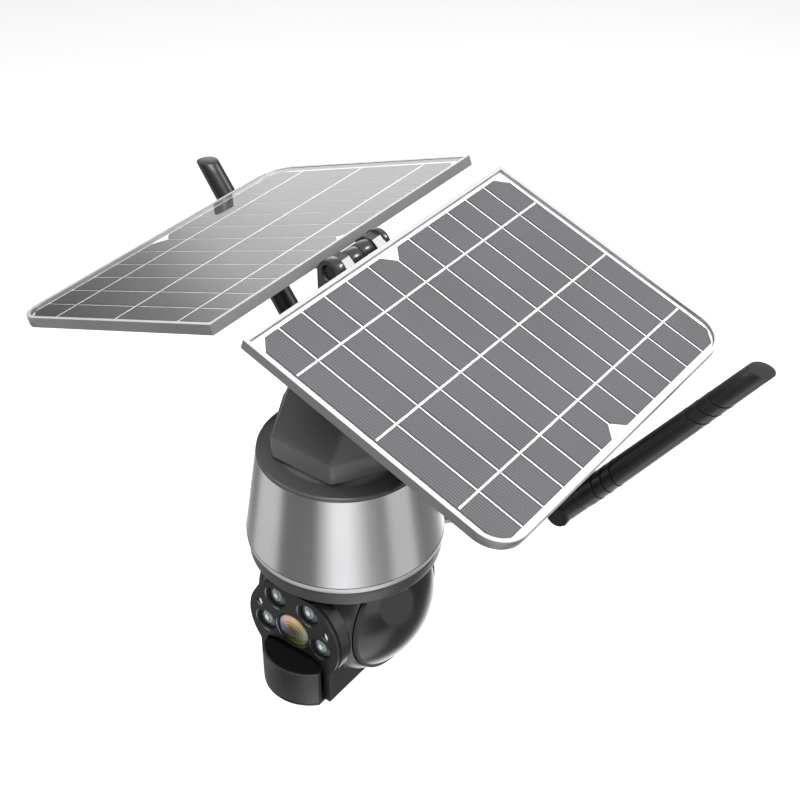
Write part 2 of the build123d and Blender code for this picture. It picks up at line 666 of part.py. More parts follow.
with BuildPart() as pir_window:
    with BuildSketch(level(lens_z + bay_bottom, 0, window_y)):
        Circle(window_r)
        Circle(window_r - 1.6, mode=Mode.SUBTRACT)
    extrude(amount=window_top - bay_bottom)
    box_between(-40, 40, face_y, face_y + 70, -140, 0, Mode.SUBTRACT)
    box_between(-40, -22.0, face_y - 40, face_y + 70, -140, 0, Mode.SUBTRACT)
    box_between(22.0, 40, face_y - 40, face_y + 70, -140, 0, Mode.SUBTRACT)
save(pir_window, "motion_window")

with BuildPart() as bay_tray:
    with BuildSketch(level(lens_z + window_top - 1.6, 0, window_y)):
        Circle(window_r - 1.7)
    extrude(amount=1.6)
    box_between(-40, 40, face_y + 10.0, face_y + 70, -140, 0, Mode.SUBTRACT)
    box_between(-40, -22.0, face_y - 40, face_y + 10, -115, 0, Mode.SUBTRACT)
    box_between(22.0, 40, face_y - 40, face_y + 10, -115, 0, Mode.SUBTRACT)
    box_between(-22, 22, face_y + 8.4, face_y + 10.0, lens_z + bay_bottom + 2.3, lens_z - 15.0)
save(bay_tray, "bay_tray")

with BuildPart() as pir_sensor:
    rod(face(0, -33.0, 6.8), 4.6, 4.0)
    box_between(-9, 9, face_y + 6.8, face_y + 8.4, lens_z - 42, lens_z - 23.0)
save(pir_sensor, "motion_sensor")

with BuildPart() as lens_barrel:
    rod(face(0, 0, 20.0), 9.0, 16.0)
    rod(face(0, 0, 4.0), lens_r - 0.1, 3.6)
    bore(face(0, 0, 20.0), 6.0, 21.0)
    bore(face(0, 0, 2.6), 11.4, 3.0)
save(lens_barrel, "lens_barrel")

with BuildPart() as front_lens:
    rod(face(0, 0, 2.6), 11.3, 2.0)
    with BuildSketch(Plane(origin=(0, face_y + 0.6, lens_z), x_dir=(1, 0, 0), z_dir=(0, 0, 1))):
        with BuildLine():
            Polyline((0, 0), (11.3, 0))
            ThreePointArc((11.3, 0), (6.2, -2.4), (0, -3.2))
            Line((0, -3.2), (0, 0))
        make_face()
    revolve(axis=Axis((0, 0, lens_z), (0, 1, 0)))
save(front_lens, "front_lens")

with BuildPart() as image_board:
    box_between(-14, 14, face_y + 20.0, face_y + 21.6, lens_z - 12, lens_z + 14)
    box_between(-4, 4, face_y + 19.0, face_y + 20.0, lens_z - 4, lens_z + 4)
save(image_board, "image_board")

with BuildPart() as lamp_cups:
    for a, b in led_spots:
        rod(face(a, b, 6.0), led_r - 0.05, 5.6)
        bore(face(a, b, 5.0), led_r - 1.0, 5.6)
save(lamp_cups, "lamp_cups")

with BuildPart() as lamp_lenses:
    for a, b in led_spots:
        rod(face(a, b, 4.9), 6.0, 2.4)
        with Locations(face(a, b, 2.5)):
            Cone(6.0, 3.2, 2.2, align=(Align.CENTER, Align.CENTER, Align.MIN))
save(lamp_lenses, "lamp_lenses")

with BuildPart() as lamp_board:
    with BuildSketch(face(0, 0, 7.6)):
        Circle(30.5)
        with Locations((0, 55)):
            Rectangle(70, 60, mode=Mode.SUBTRACT)
        with Locations((0, -37)):
            Rectangle(70, 48, mode=Mode.SUBTRACT)
        Circle(lens_r + 0.5, mode=Mode.SUBTRACT)
    extrude(amount=1.5)
save(lamp_board, "lamp_board")

with BuildPart() as eye_windows:
    for a, b in eye_spots:
        rod(face(a, b, 2.4), eye_r, 1.6)
save(eye_windows, "sensor_windows")
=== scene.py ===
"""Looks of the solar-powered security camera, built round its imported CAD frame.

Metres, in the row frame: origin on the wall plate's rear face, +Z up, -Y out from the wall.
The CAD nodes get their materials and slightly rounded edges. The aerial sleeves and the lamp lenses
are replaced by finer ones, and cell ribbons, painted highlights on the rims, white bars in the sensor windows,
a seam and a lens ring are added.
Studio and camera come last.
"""

import json
import math
import random

import bmesh
import bpy
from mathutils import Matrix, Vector

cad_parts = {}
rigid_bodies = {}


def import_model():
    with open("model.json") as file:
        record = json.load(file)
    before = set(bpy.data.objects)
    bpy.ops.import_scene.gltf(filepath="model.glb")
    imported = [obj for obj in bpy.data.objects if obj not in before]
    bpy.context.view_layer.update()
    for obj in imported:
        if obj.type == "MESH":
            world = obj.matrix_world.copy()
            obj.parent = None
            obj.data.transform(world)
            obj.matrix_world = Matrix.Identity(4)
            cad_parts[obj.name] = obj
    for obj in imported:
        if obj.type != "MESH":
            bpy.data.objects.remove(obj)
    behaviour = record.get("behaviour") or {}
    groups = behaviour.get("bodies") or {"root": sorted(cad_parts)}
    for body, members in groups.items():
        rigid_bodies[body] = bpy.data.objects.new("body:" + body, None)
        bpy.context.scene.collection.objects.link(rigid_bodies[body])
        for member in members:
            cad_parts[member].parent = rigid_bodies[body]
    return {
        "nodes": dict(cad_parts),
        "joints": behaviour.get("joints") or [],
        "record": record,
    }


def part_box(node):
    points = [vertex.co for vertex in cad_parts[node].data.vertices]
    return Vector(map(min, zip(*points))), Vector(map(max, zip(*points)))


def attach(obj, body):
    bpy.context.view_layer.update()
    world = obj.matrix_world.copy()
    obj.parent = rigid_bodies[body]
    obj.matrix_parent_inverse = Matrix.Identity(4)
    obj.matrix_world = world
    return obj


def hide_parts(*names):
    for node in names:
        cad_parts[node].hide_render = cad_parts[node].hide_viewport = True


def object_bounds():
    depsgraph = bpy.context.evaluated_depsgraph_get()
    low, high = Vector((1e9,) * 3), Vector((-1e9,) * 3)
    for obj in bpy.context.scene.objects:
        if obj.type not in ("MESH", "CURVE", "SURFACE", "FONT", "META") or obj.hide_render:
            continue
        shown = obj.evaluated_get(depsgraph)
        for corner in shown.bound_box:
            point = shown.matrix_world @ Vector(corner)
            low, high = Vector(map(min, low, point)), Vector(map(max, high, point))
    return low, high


MM = 0.001

for leftover in list(bpy.data.objects):
    bpy.data.objects.remove(leftover)
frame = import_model()
nodes = frame["nodes"]
cad_low, cad_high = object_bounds()
middle = (cad_low + cad_high) / 2
joints = {joint["name"]: joint for joint in frame["joints"]}
scene = bpy.context.scene

# Driving dimensions, the same as the CAD's
PANEL_TILT = math.radians(20.0)
PANEL_DATUM = Vector((15.13, -120.0, 160.0)) * MM
STRIP_PITCH = 18.02 * MM
STRIPS = 12
RIBBON_US = (26.7 * MM, 77.5 * MM, 129.0 * MM)
RIBBON_HALF_V = 106.6 * MM
AERIAL_RISE = math.radians(54.3)
AERIAL_LENGTH = 192.0
FACE_Y = -196.9 * MM
LAMP_SPOTS = ((-12.3, 19.7), (12.3, 19.7), (-20.8, -3.1), (20.8, -3.1))
SENSOR_SPOTS = ((-25.3, 9.8), (25.3, 9.8))

# Fineness of the added details
FINGERS_PER_STRIP = 11
RIBBON_W = 1.25 * MM
RIBBON_STEPS = 240
RIBBON_COLUMNS = 3
RIBBON_LIFT = -1.955 * MM
GRAIN_HEIGHT = 0.1 * MM

BLACK = (0.0, 0.0, 0.0)
WHITE = (1.0, 1.0, 1.0)


def grey(level):
    return (level, level, level)


# ---------------------------------------------------------------- material building blocks
class Tree:
    """A cleared node tree with short ways to add the nodes used here."""

    def __init__(self, owner):
        owner.use_nodes = True
        self.tree = owner.node_tree
        self.tree.nodes.clear()

    def add(self, kind, **constants):
        """A new node, with constants on its sockets; underscores stand for spaces."""
        node = self.tree.nodes.new(kind)
        for name, value in constants.items():
            node.inputs[name.replace("_", " ")].default_value = value
        return node

    def link(self, a, b):
        self.tree.links.new(a, b)

    def feed(self, value, socket):
        """Put a number, a colour or another node's output into a socket."""
        if isinstance(value, (int, float)):
            socket.default_value = value
        elif isinstance(value, tuple):
            socket.default_value = (*value, 1.0)
        else:
            self.link(value, socket)

    def math(self, operation, a, b=0.0):
        node = self.add("ShaderNodeMath")
        node.operation = operation
        self.feed(a, node.inputs[0])
        self.feed(b, node.inputs[1])
        return node.outputs[0]

    def mix(self, fac, a, b, blend="MIX"):
        node = self.add("ShaderNodeMix")
        node.data_type = "RGBA"
        node.blend_type = blend
        for socket, value in ((node.inputs[0], fac), (node.inputs[6], a), (node.inputs[7], b)):
            self.feed(value, socket)
        return node.outputs[2]

    def ramp(self, fac, *stops):
        """Colours along a factor; each stop is (position, colour)."""
        node = self.add("ShaderNodeValToRGB")
        elements = node.color_ramp.elements
        while len(elements) < len(stops):
            elements.new(0.5)
        for element, (position, colour) in zip(elements, stops):
            element.position = position
            element.color = (*colour, 1.0)
        self.link(fac, node.inputs[0])
        return node.outputs[0]

    def parts(self, vector):
        """X, Y and Z of a vector."""
        node = self.add("ShaderNodeSeparateXYZ")
        self.link(vector, node.inputs[0])
        return node.outputs


class Look(Tree):
    """A material round one Principled shader."""

    def __init__(self, name):
        self.material = bpy.data.materials.new(name)
        super().__init__(self.material)
        self.out = self.add("ShaderNodeOutputMaterial")
        self.shader = self.add("ShaderNodeBsdfPrincipled")
        self.link(self.shader.outputs[0], self.out.inputs["Surface"])
        self.place = self.add("ShaderNodeTexCoord").outputs["Object"]

    def set(self, **sockets):
        """Constants on the shader's own sockets, underscores for spaces."""
        for name, value in sockets.items():
            self.shader.inputs[name.replace("_", " ")].default_value = value

    def noise(self, scale, detail=3.0, stretch=None):
        """Noise in object space, cells about 1/scale metres across."""
        node = self.add("ShaderNodeTexNoise", Scale=scale, Detail=detail, Roughness=0.55)
        source = self.place
        if stretch:
            mapping = self.add("ShaderNodeMapping", Scale=stretch)
            self.link(source, mapping.inputs["Vector"])
            source = mapping.outputs[0]
        self.link(source, node.inputs["Vector"])
        return node.outputs["Fac"]

    def from_axis(self, x, z):
        """Across, up and straight distance from a line that runs into the camera head at (x, z)."""
        place = self.parts(self.place)
        across = self.math("SUBTRACT", place[0], x)
        up = self.math("SUBTRACT", place[2], z)
        squares = self.math("ADD", self.math("MULTIPLY", across, across), self.math("MULTIPLY", up, up))
        return across, up, self.math("SQRT", squares)

    def colour(self, socket):
        self.link(socket, self.shader.inputs["Base Color"])

    def roughness(self, fac, low, high):
        node = self.add("ShaderNodeMapRange", To_Min=low, To_Max=high)
        self.link(fac, node.inputs["Value"])
        self.link(node.outputs[0], self.shader.inputs["Roughness"])

    def bump(self, height, strength):
        node = self.add("ShaderNodeBump", Strength=strength, Distance=GRAIN_HEIGHT)
        self.link(height, node.inputs["Height"])
        self.link(node.outputs[0], self.shader.inputs["Normal"])

    def grained(self, rough, grain=2500.0, depth=0.03):
        """Uneven gloss and a fine moulded grain."""
        self.roughness(self.noise(160.0, 5.0), rough * 0.85, rough * 1.15)
        self.bump(self.noise(grain, 2.0), depth)


def tinted(colour, factor):
    """A colour made lighter or darker."""
    return tuple(min(1.0, c * factor) for c in colour)


def moulded(name, colour, rough, metallic=0.0, coat=0.0, spread=0.12, specular=0.5, **grain):
    """Plastic, paint or plain metal: faint mottling, uneven gloss and fine grain."""
    look = Look(name)
    look.set(Metallic=metallic, Coat_Weight=coat, Coat_Roughness=0.08, Specular_IOR_Level=specular)
    mottle = look.noise(28.0, 4.0)
    look.colour(look.ramp(mottle, (0.3, tinted(colour, 1 - spread)), (0.7, tinted(colour, 1 + spread))))
    look.grained(rough, **grain)
    return look.material


MATERIALS = {name: moulded(name, colour, rough, **options) for name, colour, rough, options in (
    ("pale_trim", (0.62, 0.62, 0.63), 0.32, {"metallic": 0.3, "depth": 0.02}),
    ("dark_skirt", (0.055, 0.055, 0.058), 0.34, {"depth": 0.04}),
    ("charcoal_plastic", (0.085, 0.085, 0.089), 0.36, {"depth": 0.10}),
    ("wall_metal", (0.10, 0.10, 0.104), 0.45, {"depth": 0.12, "grain": 1200.0}),
    ("backsheet", (0.90, 0.90, 0.90), 0.55, {"spread": 0.02}),
    ("black_plastic", (0.009, 0.009, 0.010), 0.34, {"depth": 0.04}),
    ("hinge_metal", (0.024, 0.024, 0.025), 0.26, {"depth": 0.04, "coat": 0.5}),
    ("steel_screw", (0.5, 0.5, 0.5), 0.3, {"metallic": 1.0}),
    ("bolt_steel", (0.05, 0.05, 0.053), 0.35, {"metallic": 0.8}),
    ("gloss_black", (0.009, 0.009, 0.010), 0.24, {"depth": 0.008}),
    ("motor_can", (0.55, 0.55, 0.55), 0.35, {"metallic": 1.0}),
    ("gear_plastic", (0.78, 0.77, 0.73), 0.45, {}),
    ("battery_wrap", (0.05, 0.2, 0.28), 0.3, {}),
    ("circuit_board", (0.02, 0.12, 0.05), 0.35, {"grain": 900.0, "depth": 0.2}),
    ("window_film", (0.018, 0.017, 0.018), 0.40, {"depth": 0.04}),
    ("sensor_can", (0.6, 0.58, 0.5), 0.3, {"metallic": 1.0}),
    ("antenna_rubber", (0.013, 0.013, 0.014), 0.34, {"depth": 0.08}),
    ("bay_painted_shade", (0.002, 0.002, 0.002), 0.75, {"depth": 0.02, "specular": 0.08}),
    ("lamp_silver", (0.55, 0.56, 0.57), 0.25, {"metallic": 1.0}),
    ("lamp_black", (0.004, 0.004, 0.004), 0.30, {}),
    ("bright_mark", (0.9, 0.9, 0.9), 0.25, {"spread": 0.01}),
    ("antenna_plastic", (0.016, 0.016, 0.017), 0.36, {"depth": 0.06}),
)}

# The base housing: painted light, its flange coloured paler than the block above it, standing in for the light
# its sides catch
HEIGHT_SPAN = 100.0
housing = Look("housing_plastic")
height = housing.math("DIVIDE", housing.parts(housing.place)[2], HEIGHT_SPAN * MM)
flange_painted_light = housing.ramp(height, *((z / HEIGHT_SPAN, grey(share)) for z, share in (
    (53.8, 1.0), (56.0, 0.25), (57.0, 0.25), (58.5, 0.0))))
housing.colour(housing.mix(flange_painted_light, (0.078, 0.078, 0.082), (0.16, 0.16, 0.165)))
housing.grained(0.34, depth=0.06)
MATERIALS["housing_plastic"] = housing.material

silver = Look("silver_shell")
silver.set(Metallic=0.85)
silver.colour(silver.ramp(silver.noise(9.0), (0.3, (0.50, 0.50, 0.51)), (0.7, (0.56, 0.56, 0.57))))
silver.roughness(silver.noise(420.0, stretch=(1.0, 1.0, 0.06)), 0.19, 0.25)
MATERIALS["silver_shell"] = silver.material

# The panel frames: satin sides, and painted light: faces that point up, the lip, are coloured paler as if lit
# from above
anodised = Look("panel_frame")
anodised.set(Metallic=0.35)
upward = anodised.parts(anodised.add("ShaderNodeTexCoord").outputs["Normal"])[2]
painted_top_light = anodised.ramp(upward, (0.55, BLACK), (0.75, WHITE))
satin = anodised.ramp(anodised.noise(22.0), (0.3, (0.20, 0.20, 0.205)), (0.7, (0.23, 0.23, 0.235)))
anodised.colour(anodised.mix(painted_top_light, satin, (0.56, 0.56, 0.57)))
anodised.roughness(anodised.noise(500.0, 2.0, stretch=(1.0, 0.05, 1.0)), 0.36, 0.46)
MATERIALS["panel_frame"] = anodised.material

# The cells: finger lines along each strip, dark borders, and painted shade that darkens the cells of the left
# panel
LINE_DARK = (0.060, 0.060, 0.065)
LINE_LIGHT = (0.125, 0.125, 0.132)
LEFT_PAINTED_SHADE = grey(0.72)
cells = Look("solar_cell")
cells.set(Specular_IOR_Level=0.1)
cell_x, cell_y, _ = cells.parts(cells.place)
across = cells.math("DIVIDE", cells.math("SUBTRACT", cell_y, PANEL_DATUM.y), STRIP_PITCH)
in_strip = cells.math("FRACT", cells.math("ADD", across, STRIPS / 2))
from_edge = cells.math("ABSOLUTE", cells.math("SUBTRACT", in_strip, 0.5))
finger = cells.math("FRACT", cells.math("MULTIPLY", in_strip, FINGERS_PER_STRIP))
lines = cells.ramp(finger, (0.0, LINE_DARK), (0.30, LINE_LIGHT), (0.62, LINE_LIGHT), (1.0, LINE_DARK))
border = cells.ramp(from_edge, (0.430, BLACK), (0.450, WHITE))
mottled = cells.ramp(cells.noise(14.0, 2.0), (0.25, (0.92, 0.92, 0.90)), (0.75, (1.06, 1.06, 1.08)))
left_painted_shade = cells.ramp(cells.math("ADD", cell_x, 0.5), (0.499, LEFT_PAINTED_SHADE), (0.501, WHITE))
striped = cells.mix(1.0, cells.mix(1.0, lines, mottled, "MULTIPLY"), left_painted_shade, "MULTIPLY")
cells.colour(cells.mix(border, striped, (0.045, 0.045, 0.050)))
cells.roughness(cells.noise(60.0), 0.42, 0.52)
MATERIALS["solar_cell"] = cells.material

soldered = Look("cell_ribbon")
soldered.set(Metallic=0.35)
solder = soldered.noise(1300.0, 2.0, stretch=(1.3, 0.45, 1.0))
soldered.colour(soldered.ramp(solder, (0.36, (0.50, 0.50, 0.52)), (0.52, WHITE)))
soldered.roughness(solder, 0.55, 0.20)
soldered.bump(solder, 0.5)
MATERIALS["cell_ribbon"] = soldered.material


def clear_glass(name, tint, strength):
    """Clear glass as a thin sheet: lets light straight through and mirrors more at a slant."""
    look = Look(name)
    look.tree.nodes.remove(look.shader)
    through = look.add("ShaderNodeBsdfTransparent", Color=(*tint, 1.0))
    mirror = look.add("ShaderNodeBsdfGlossy", Roughness=0.05, Color=(*WHITE, 1.0))
    fresnel = look.add("ShaderNodeFresnel", IOR=1.45)
    front = look.math("SUBTRACT", 1.0, look.add("ShaderNodeNewGeometry").outputs["Backfacing"])
    share = look.math("MULTIPLY", look.math("MULTIPLY", fresnel.outputs[0], strength), front)
    either = look.add("ShaderNodeMixShader")
    for source, socket in zip((share, through.outputs[0], mirror.outputs[0]), either.inputs):
        look.link(source, socket)
    look.link(either.outputs[0], look.out.inputs["Surface"])
    return look.material


MATERIALS["solar_glass"] = clear_glass("solar_glass", grey(0.99), 1.0)
MATERIALS["lamp_glass"] = clear_glass("lamp_glass", (0.90, 0.93, 0.95), 1.6)

# The main lens: painted reflections of its coating run round it in colours, and painted pale and dark rings
# darken towards a small pupil
lens_low, lens_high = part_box("front_lens")
lens_z = (lens_low.z + lens_high.z) / 2
lens_r = (lens_high.z - lens_low.z) / 2
coated = Look("lens_glass")
coated.set(Roughness=0.06, Coat_Weight=0.6, Coat_Roughness=0.03)
lens_across, lens_up, lens_reach = coated.from_axis(0.0, lens_z)
turn = coated.math("DIVIDE", coated.math("ARCTAN2", lens_up, lens_across), 2 * math.pi)
painted_coating_reflection = coated.ramp(coated.math("ADD", turn, 0.5),
                  (0.00, (0.12, 0.11, 0.38)), (0.08, (0.15, 0.17, 0.22)), (0.20, (0.22, 0.24, 0.12)),
                  (0.29, (0.50, 0.33, 0.09)), (0.36, (0.25, 0.27, 0.09)), (0.50, (0.20, 0.19, 0.13)),
                  (0.62, (0.30, 0.25, 0.15)), (0.74, (0.60, 0.38, 0.22)), (0.86, (0.55, 0.34, 0.28)),
                  (0.93, (0.18, 0.15, 0.45)), (1.00, (0.12, 0.11, 0.38)))
# Painted rings of reflection and shade over the lens, dark at the pupil
depth = coated.ramp(coated.math("DIVIDE", lens_reach, lens_r),
                    (0.0, (0.03, 0.03, 0.02)), (0.18, (0.10, 0.09, 0.05)), (0.34, (0.20, 0.19, 0.12)),
                    (0.38, (0.05, 0.05, 0.04)), (0.44, (0.55, 0.54, 0.50)), (0.50, (0.22, 0.22, 0.20)),
                    (0.60, grey(0.75)), (0.66, grey(0.45)), (0.72, grey(0.9)), (0.90, WHITE),
                    (1.0, grey(0.15)))
coated.colour(coated.mix(1.0, painted_coating_reflection, depth, "MULTIPLY"))
MATERIALS["lens_glass"] = coated.material

# The lamp lenses: a painted highlight, a bright spot a little left of and above each middle, with painted pale
# and dark rings of reflection and shade round it
LAMP_PAINTED_HIGHLIGHT_AT = (-0.7, 0.9)
LAMP_PAINTED_LIGHT_R = 6.9 * MM
lamp_look = Look("lamp_face")
lamp_look.set(Roughness=0.12, Coat_Weight=1.0, Coat_Roughness=0.04)
nearest = None
for a, b in LAMP_SPOTS:
    reach = lamp_look.from_axis((a + LAMP_PAINTED_HIGHLIGHT_AT[0]) * MM, lens_z + (b + LAMP_PAINTED_HIGHLIGHT_AT[1]) * MM)[2]
    nearest = reach if nearest is None else lamp_look.math("MINIMUM", nearest, reach)
lamp_look.colour(lamp_look.ramp(lamp_look.math("DIVIDE", nearest, LAMP_PAINTED_LIGHT_R),
                                (0.0, (0.80, 0.84, 0.86)), (0.24, (0.60, 0.65, 0.67)),
                                (0.32, (0.06, 0.07, 0.08)), (0.42, (0.34, 0.39, 0.41)),
                                (0.58, (0.20, 0.25, 0.27)), (0.64, (0.05, 0.06, 0.07)),
                                (0.80, (0.16, 0.19, 0.20)), (0.84, grey(0.03)),
                                (0.95, (0.30, 0.33, 0.34)), (1.0, grey(0.10))))
MATERIALS["lamp_face"] = lamp_look.material

# Nodes that look different from the rest of their material slot
# The bay tray is near black with almost no gloss, painted shade for the recess behind the face plate
OWN_LOOKS = {"bay_tray": "bay_painted_shade", "lamp_cups": "lamp_black", "lens_barrel": "lamp_black",
             "base_housing": "housing_plastic", "hinge_post": "hinge_metal"}
slots = {part["node"]: part["material_slot"] for part in frame["record"]["subparts"]}
for name, piece in nodes.items():
    piece.data.materials.clear()
    piece.data.materials.append(MATERIALS[OWN_LOOKS.get(name, slots[name])])

# Moulded and machined edges are slightly rounded, so that they catch the light: width, then nodes
EDGES = {
    0.25: ("hinge_bolt",),
    0.3: ("top_cover", "face_plate", "right_panel_frame", "left_panel_frame", "right_hinge_leaf",
          "left_hinge_leaf", "motion_window"),
    0.35: ("hinge_post",),
    0.4: ("trim_ring", "head_shell", "right_antenna_wing", "left_antenna_wing"),
    0.5: ("lower_skirt", "right_junction_box", "left_junction_box", "mast_cap"),
    0.6: ("rear_bracket",),
    0.7: ("base_housing",),
}
WELD_REACH = 0.002 * MM
SHARP_FROM = math.radians(32.0)
for width, names in EDGES.items():
    for name in names:
        joined = nodes[name].modifiers.new("joined", "WELD")
        joined.merge_threshold = WELD_REACH
        rounded = nodes[name].modifiers.new("rounded", "BEVEL")
        rounded.width = width * MM
        rounded.segments = 2
        rounded.limit_method = "ANGLE"
        rounded.angle_limit = SHARP_FROM
        rounded.harden_normals = True


def add_piece(name, form, material, body, smooth=30.0):
    """A new object from a bmesh, with its material, riding on a CAD body."""
    mesh = bpy.data.meshes.new(name)
    form.to_mesh(mesh)
    form.free()
    mesh.materials.append(MATERIALS[material])
    for face in mesh.polygons:
        face.use_smooth = True
    mesh.set_sharp_from_angle(angle=math.radians(smooth))
    piece = bpy.data.objects.new(name, mesh)
    scene.collection.objects.link(piece)
    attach(piece, body)
    return piece


def skinned(rings, joined_up):
    """A bmesh skinned through rings of points: closed into a loop, or capped at both ends."""
    form = bmesh.new()
    rows = [[form.verts.new(point) for point in ring] for ring in rings]
    count = len(rows[0])
    for low, high in zip(rows, rows[1:] + rows[:1] if joined_up else rows[1:]):
        for i in range(count):
            j = (i + 1) % count
            form.faces.new((low[i], low[j], high[j], high[i]))
    if not joined_up:
        form.faces.new(list(reversed(rows[0])))
        form.faces.new(rows[-1])
    bmesh.ops.recalc_face_normals(form, faces=form.faces)
    return form


def turned(profile, origin, axis, segments=64):
    """A ring-shaped bmesh: a closed profile of (radius, along) turned about an axis."""
    first = axis.orthogonal().normalized()
    second = axis.cross(first)
    rings = []
    for i in range(segments):
        angle = 2 * math.pi * i / segments
        out = first * math.cos(angle) + second * math.sin(angle)
        rings.append([origin + out * r + axis * a for r, a in profile])
    return skinned(rings, True)


# ---------------------------------------------------------------- solar panels
def ribbon(form, side, at_u, seed):
    """One soldered ribbon: a thin strip along the hinge way, its surface slightly crumpled."""
    rng = random.Random(seed)
    origin = Vector((side * PANEL_DATUM.x, PANEL_DATUM.y, PANEL_DATUM.z))
    outward = Vector((side * math.cos(PANEL_TILT), 0.0, -math.sin(PANEL_TILT)))
    along_hinge = Vector((0.0, 1.0, 0.0))
    normal = Vector((side * math.sin(PANEL_TILT), 0.0, math.cos(PANEL_TILT)))
    rows = []
    for i in range(RIBBON_STEPS + 1):
        along = -RIBBON_HALF_V + 2 * RIBBON_HALF_V * i / RIBBON_STEPS
        row = []
        for j in range(RIBBON_COLUMNS + 1):
            aside = at_u + (j / RIBBON_COLUMNS - 0.5) * RIBBON_W
            lift = RIBBON_LIFT + rng.uniform(-0.02, 0.025) * MM
            row.append(form.verts.new(origin + outward * aside + along_hinge * along + normal * lift))
        rows.append(row)
    for low, high in zip(rows[:-1], rows[1:]):
        for j in range(RIBBON_COLUMNS):
            form.faces.new((low[j], low[j + 1], high[j + 1], high[j]))


for side_name, side in (("right", 1), ("left", -1)):
    ribbons = bmesh.new()
    for k, at_u in enumerate(RIBBON_US):
        ribbon(ribbons, side, at_u, seed=10 * k + side)
    add_piece(f"{side_name}_cell_ribbons", ribbons, "cell_ribbon", f"{side_name}_panel", smooth=5.0)


# ---------------------------------------------------------------- aerials
# Millimetres along the sleeve from the fold pivot
SLEEVE_KNOTS = ((22.05, 7.7), (30.0, 8.15), (75.0, 7.85), (192.0, 6.65), (200.0, 6.6))
SLEEVE_FOOT = ((22.05, -0.35), (22.5, 0.0), (30.0, 0.0), (36.0, 0.0))
SLEEVE_PLAIN = (70.0, 80.0, 90.0, 100.0, 110.0, 120.0, 128.0, 165.0, 175.0, 185.0)
SLEEVE_TIP = ((-0.5, 0.0), (-0.15, -0.15), (-0.02, -0.5))
GROOVES = (41.0, 50.5, 60.0, 137.0, 147.0, 157.0)
GROOVE_PROFILE = ((-1.8, 0.0), (-0.55, 0.18), (-0.35, -0.75), (0.35, -0.75), (0.6, -0.1), (2.2, 0.0))
SLANT_STARTS, SLANT_FULL, SLANT_TURNS, SLANT_TIP = 24.0, 38.0, 64.0, 125.0
LOW_SLOPE = math.tan(math.radians(22.0))
SLEEVE_SEGMENTS = 64


def sleeve_radius(s):
    """Radius at a distance along the sleeve, between the knots."""
    for (s0, r0), (s1, r1) in zip(SLEEVE_KNOTS[:-1], SLEEVE_KNOTS[1:]):
        if s <= s1:
            return (r0 + (r1 - r0) * (s - s0) / (s1 - s0)) * MM
    return SLEEVE_KNOTS[-1][1] * MM


def sleeve_slope(s, tip_slope):
    """Slant of the sleeve's rings: none at the foot, then the low grooves', then the tip's."""
    if s < SLANT_FULL:
        return LOW_SLOPE * max(0.0, (s - SLANT_STARTS) / (SLANT_FULL - SLANT_STARTS))
    if s < SLANT_TURNS:
        return LOW_SLOPE
    if s < SLANT_TIP:
        return LOW_SLOPE + (tip_slope - LOW_SLOPE) * (s - SLANT_TURNS) / (SLANT_TIP - SLANT_TURNS)
    return tip_slope


def aerial_sleeve(side_name, side):
    """Tapered sleeve with two sets of slanted grooves and a slanted, nearly level tip."""
    pivot = Vector(joints[f"{side_name}_antenna_fold"]["pos_m"])
    along = Vector((side * math.cos(AERIAL_RISE), 0.0, math.sin(AERIAL_RISE)))
    inward = Vector((-side * math.sin(AERIAL_RISE), 0.0, math.cos(AERIAL_RISE)))
    across = Vector((0.0, 1.0, 0.0))
    tip_normal = Vector((side * 0.12, 0.0, 1.0))
    tip_slope = -tip_normal.dot(inward) / tip_normal.dot(along)
    rows = list(SLEEVE_FOOT) + [(s, 0.0) for s in SLEEVE_PLAIN]
    rows += [(groove + step, inset) for groove in GROOVES for step, inset in GROOVE_PROFILE]
    rows += [(AERIAL_LENGTH + step, inset) for step, inset in SLEEVE_TIP]
    rings = []
    for s, inset in sorted(rows):
        r = sleeve_radius(s) + inset * MM
        slope = sleeve_slope(s, tip_slope)
        ring = []
        for i in range(SLEEVE_SEGMENTS):
            angle = 2 * math.pi * i / SLEEVE_SEGMENTS
            lean = slope * r * math.cos(angle)
            ring.append(pivot + along * (s * MM + lean) + inward * (r * math.cos(angle))
                        + across * (r * math.sin(angle)))
        rings.append(ring)
    sleeve = add_piece(f"{side_name}_grooved_sleeve", skinned(rings, False), "antenna_rubber",
                       f"{side_name}_antenna", smooth=32.0)
    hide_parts(f"{side_name}_antenna_sleeve")


aerial_sleeve("right", 1)
aerial_sleeve("left", -1)

# ---------------------------------------------------------------- lamps, sensors and lens rings
INTO_HEAD = Vector((0.0, 1.0, 0.0))


def on_face(a, b):
    """A point on the face plate: across and up from the lens, in millimetres."""
    return Vector((a * MM, FACE_Y, lens_z + b * MM))


def merged(forms):
    """Several bmeshes as one."""
    total = bmesh.new()
    for form in forms:
        part = bpy.data.meshes.new("part")
        form.to_mesh(part)
        form.free()
        total.from_mesh(part)
        bpy.data.meshes.remove(part)
    return total


def scaled(profile):
    """A profile of (radius, along) from millimetres to metres."""
    return [(r * MM, a * MM) for r, a in profile]


def arc_bar(centre, radius, width, start, end, front=-0.12, back=0.2):
    """A short curved bar on the face plate with tapered ends, angles in degrees from +X."""
    steps = 18
    rings = []
    for i in range(steps + 1):
        angle = math.radians(start + (end - start) * i / steps)
        taper = math.sin(math.pi * (i + 0.6) / (steps + 1.2)) ** 0.5
        out = Vector((math.cos(angle), 0.0, math.sin(angle)))
        inner = centre + out * (radius - width * taper / 2) * MM
        outer = centre + out * (radius + width * taper / 2) * MM
        rings.append([point + INTO_HEAD * depth * MM
                      for point, depth in ((inner, front), (outer, front), (outer, back), (inner, back))])
    return skinned(rings, False)


